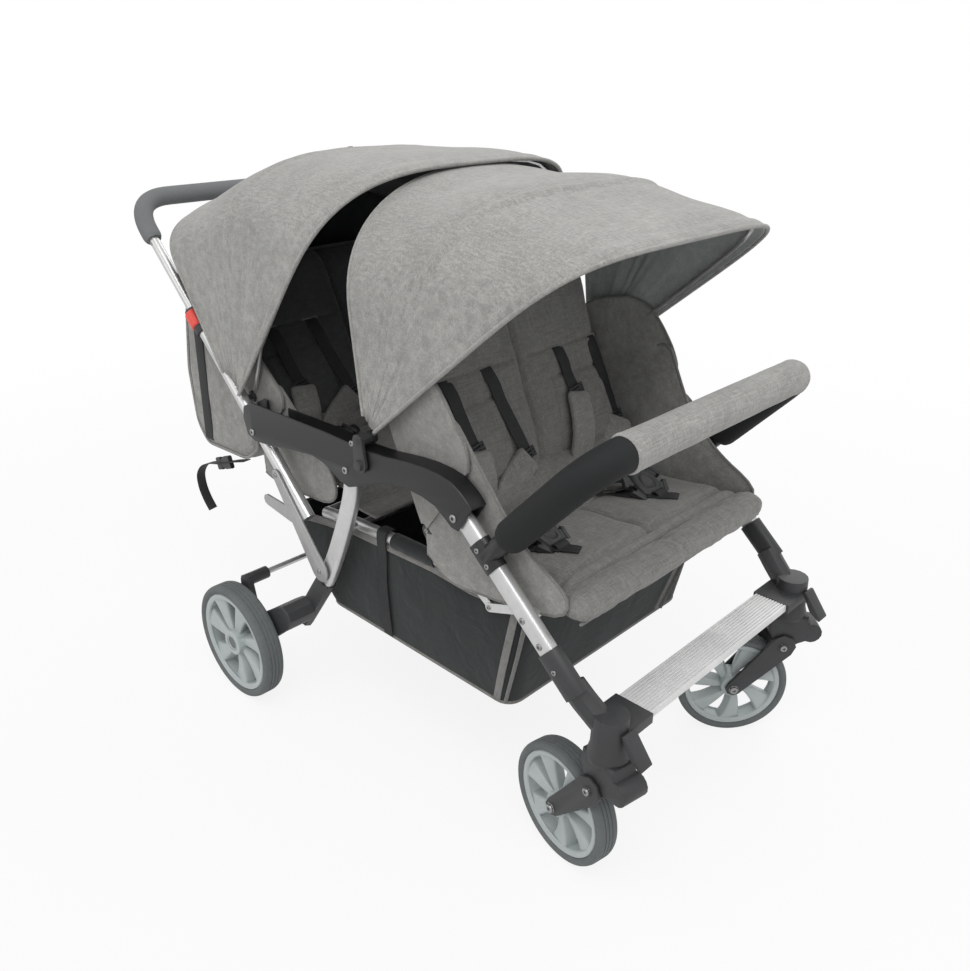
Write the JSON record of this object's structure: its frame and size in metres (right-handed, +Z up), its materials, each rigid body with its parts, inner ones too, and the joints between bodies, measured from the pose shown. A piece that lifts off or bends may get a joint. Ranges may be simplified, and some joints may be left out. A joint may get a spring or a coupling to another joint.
{
  "type": "multi seat stroller",
  "caption": "Folding pushchair with two rows of paired padded seats, hooded canopies, a bumper bar, a basket, swivel casters and a telescopic handle.",
  "frame": {"origin": "on the floor under the centre of the bounding box", "axes": "+Z up, the front looks along -Y, +X is the left side"},
  "size_m": [0.804, 1.2966, 1.0325],
  "materials": {
    "aluminium": "satin, brushed",
    "link_metal": "satin grey",
    "black_plastic": "fine matt",
    "rim_plastic": "fine matt",
    "tyre": "matt",
    "foam": "soft matt foam",
    "red_plastic": "gloss",
    "grey_cloth": "heathered weave",
    "black_cloth": "coated weave",
    "steel": "satin"
  },
  "bodies": {
    "armrests": {"armrest_casing_left": "black_plastic", "armrest_casing_right": "black_plastic", "front_canopy_clamp_left": "black_plastic", "front_canopy_clamp_right": "black_plastic"},
    "front_frame": {"front_leg_left": "aluminium", "front_leg_right": "aluminium", "front_bracket_left": "black_plastic", "front_bracket_right": "black_plastic", "footplate": "aluminium", "bumper_socket_left": "black_plastic", "bumper_socket_right": "black_plastic"},
    "bumper": {"bumper_bar": "steel", "bumper_pad": "foam"},
    "rear_frame": {"rear_leg_left": "aluminium", "rear_leg_right": "aluminium", "rear_bracket_left": "black_plastic", "rear_bracket_right": "black_plastic"},
    "brake": {"brake_bar": "steel"},
    "handle": {"handle_tube_left": "aluminium", "handle_tube_right": "aluminium", "handle_collar_left": "black_plastic", "handle_collar_right": "black_plastic", "rear_canopy_clamp_left": "black_plastic", "rear_canopy_clamp_right": "black_plastic"},
    "handle_top": {"handle_upper": "aluminium", "handle_grip": "foam"},
    "rear_back": {"rear_back": "grey_cloth"},
    "links": {"link_plate_left": "link_metal", "link_plate_right": "link_metal"},
    "seat_frame": {"seat_frame": "aluminium", "front_seat": "grey_cloth", "rear_seat": "grey_cloth", "basket": "black_cloth"},
    "brace_bars": {"brace_bar_left": "aluminium", "brace_bar_right": "aluminium"},
    "brace_links": {"brace_link_left": "aluminium", "brace_link_right": "aluminium"},
    "recline_hinge": {"recline_hinge": "black_plastic"},
    "front_back": {"front_back_frame": "aluminium", "front_back": "grey_cloth"},
    "front_canopy": {"front_canopy": "grey_cloth", "front_canopy_bow": "steel"},
    "rear_canopy": {"rear_canopy": "grey_cloth", "rear_canopy_bow": "steel"},
    "caster_left": {"caster_knuckle_left": "black_plastic"},
    "fork_left": {"caster_fork_left": "black_plastic"},
    "front_wheel_left": {"front_rim_left": "rim_plastic", "front_tyre_left": "tyre"},
    "rear_wheel_left": {"rear_rim_left": "rim_plastic", "rear_tyre_left": "tyre"},
    "caster_lock_left": {"caster_lock_left": "black_plastic"},
    "button_left": {"handle_button_left": "red_plastic"},
    "caster_right": {"caster_knuckle_right": "black_plastic"},
    "fork_right": {"caster_fork_right": "black_plastic"},
    "front_wheel_right": {"front_rim_right": "rim_plastic", "front_tyre_right": "tyre"},
    "rear_wheel_right": {"rear_rim_right": "rim_plastic", "rear_tyre_right": "tyre"},
    "caster_lock_right": {"caster_lock_right": "black_plastic"},
    "button_right": {"handle_button_right": "red_plastic"}
  },
  "joints": [
    {"name": "frame_fold", "type": "hinge", "parent": "armrests", "child": "front_frame", "pos_m": [0, -0.29648, 0.553], "axis": [1, 0, 0], "range_deg": [0, 75], "deforming": ["basket"]},
    {"name": "rear_leg_fold", "type": "hinge", "parent": "armrests", "child": "rear_frame", "pos_m": [0, -0.03548, 0.551], "axis": [1, 0, 0], "range_deg": [0, 28.7]},
    {"name": "handle_fold", "type": "hinge", "parent": "armrests", "child": "handle", "pos_m": [0, 0.24652, 0.542], "axis": [1, 0, 0], "range_deg": [0, 106.5]},
    {"name": "link_fold", "type": "hinge", "parent": "rear_frame", "child": "links", "pos_m": [0, 0.06552, 0.316], "axis": [1, 0, 0], "range_deg": [-49.1, 0]},
    {"name": "seat_frame_fold", "type": "hinge", "parent": "rear_frame", "child": "seat_frame", "pos_m": [0, 0.00852, 0.4126], "axis": [1, 0, 0], "range_deg": [-28.7, 0]},
    {"name": "brace_bar_fold", "type": "hinge", "parent": "front_frame", "child": "brace_bars", "pos_m": [0, -0.43148, 0.43], "axis": [1, 0, 0], "range_deg": [0, 51.5]},
    {"name": "brace_link_fold", "type": "hinge", "parent": "seat_frame", "child": "brace_links", "pos_m": [0, -0.29848, 0.416], "axis": [1, 0, 0], "range_deg": [0, 243.3]},
    {"name": "recline_hinge_fold", "type": "hinge", "parent": "seat_frame", "child": "recline_hinge", "pos_m": [0, -0.21348, 0.446], "axis": [1, 0, 0], "range_deg": [0, 71.75]},
    {"name": "front_recline", "type": "hinge", "parent": "recline_hinge", "child": "front_back", "pos_m": [0, -0.18948, 0.478], "axis": [1, 0, 0], "range_deg": [-20, 10]},
    {"name": "rear_recline", "type": "hinge", "parent": "handle", "child": "rear_back", "pos_m": [0, 0.29052, 0.482], "axis": [1, 0, 0], "range_deg": [-10, 3]},
    {"name": "handle_slide", "type": "slide", "parent": "handle", "child": "handle_top", "axis": [0, 0.7071, 0.7071], "range_m": [-0.12, 0]},
    {"name": "bumper_slide", "type": "slide", "parent": "front_frame", "child": "bumper", "axis": [0, -0.6837, 0.7297], "range_m": [0, 0.06]},
    {"name": "brake_pedal_turn", "type": "hinge", "parent": "rear_frame", "child": "brake", "pos_m": [0, 0.25652, 0.236], "axis": [1, 0, 0], "range_deg": [-25, 0]},
    {"name": "front_canopy_fold", "type": "hinge", "parent": "armrests", "child": "front_canopy", "pos_m": [0, -0.08148, 0.618], "axis": [1, 0, 0], "range_deg": [-50, 0], "deforming": ["front_canopy", "front_canopy_bow"]},
    {"name": "rear_canopy_fold", "type": "hinge", "parent": "handle", "child": "rear_canopy", "pos_m": [0, 0.29552, 0.591], "axis": [1, 0, 0], "range_deg": [-60, 0], "deforming": ["rear_canopy", "rear_canopy_bow"]},
    {"name": "caster_swivel_left", "type": "hinge", "parent": "front_frame", "child": "caster_left", "pos_m": [0.268, -0.58148, 0.262], "axis": [0, 0, 1], "continuous": true},
    {"name": "suspension_left", "type": "hinge", "parent": "caster_left", "child": "fork_left", "pos_m": [0.2625, -0.57567, 0.198], "axis": [0.7266, 0.6871, 0], "range_deg": [0, 8], "stiffness_Nm_per_rad": 80, "springref_deg": -5.73},
    {"name": "front_wheel_spin_left", "type": "hinge", "parent": "fork_left", "child": "front_wheel_left", "pos_m": [0.20754, -0.51754, 0.103], "axis": [0.7266, 0.6871, 0], "continuous": true},
    {"name": "rear_wheel_spin_left", "type": "hinge", "parent": "rear_frame", "child": "rear_wheel_left", "pos_m": [0.38, 0.24552, 0.119], "axis": [1, 0, 0], "continuous": true},
    {"name": "caster_lock_lift_left", "type": "hinge", "parent": "front_frame", "child": "caster_lock_left", "pos_m": [0.268, -0.61388, 0.312], "axis": [1, 0, 0], "range_deg": [-20, 0]},
    {"name": "button_press_left", "type": "slide", "parent": "handle", "child": "button_left", "axis": [-1, 0, 0], "range_m": [0, 0.0025], "stiffness_N_per_m": 800, "springref_m": -0.002},
    {"name": "caster_swivel_right", "type": "hinge", "parent": "front_frame", "child": "caster_right", "pos_m": [-0.268, -0.58148, 0.262], "axis": [0, 0, 1], "continuous": true},
    {"name": "suspension_right", "type": "hinge", "parent": "caster_right", "child": "fork_right", "pos_m": [-0.26661, -0.5736, 0.198], "axis": [0.9848, -0.1736, 0], "range_deg": [0, 8], "stiffness_Nm_per_rad": 80, "springref_deg": -5.73},
    {"name": "front_wheel_spin_right", "type": "hinge", "parent": "fork_right", "child": "front_wheel_right", "pos_m": [-0.25272, -0.49482, 0.103], "axis": [0.9848, -0.1736, 0], "continuous": true},
    {"name": "rear_wheel_spin_right", "type": "hinge", "parent": "rear_frame", "child": "rear_wheel_right", "pos_m": [-0.38, 0.24552, 0.119], "axis": [1, 0, 0], "continuous": true},
    {"name": "caster_lock_lift_right", "type": "hinge", "parent": "front_frame", "child": "caster_lock_right", "pos_m": [-0.268, -0.61388, 0.312], "axis": [1, 0, 0], "range_deg": [-20, 0]},
    {"name": "button_press_right", "type": "slide", "parent": "handle", "child": "button_right", "axis": [1, 0, 0], "range_m": [0, 0.0025], "stiffness_N_per_m": 800, "springref_m": -0.002}
  ],
  "couplings": [
    {"joint": "rear_leg_fold", "follows": "frame_fold", "ratio": 0.376},
    {"joint": "handle_fold", "follows": "frame_fold", "ratio": 1.4133},
    {"joint": "link_fold", "follows": "frame_fold", "ratio": -0.648},
    {"joint": "seat_frame_fold", "follows": "frame_fold", "ratio": -0.376},
    {"joint": "brace_bar_fold", "follows": "frame_fold", "ratio": 0.68},
    {"joint": "brace_link_fold", "follows": "frame_fold", "ratio": 3.2373},
    {"joint": "recline_hinge_fold", "follows": "frame_fold", "ratio": 0.95}
  ]
}
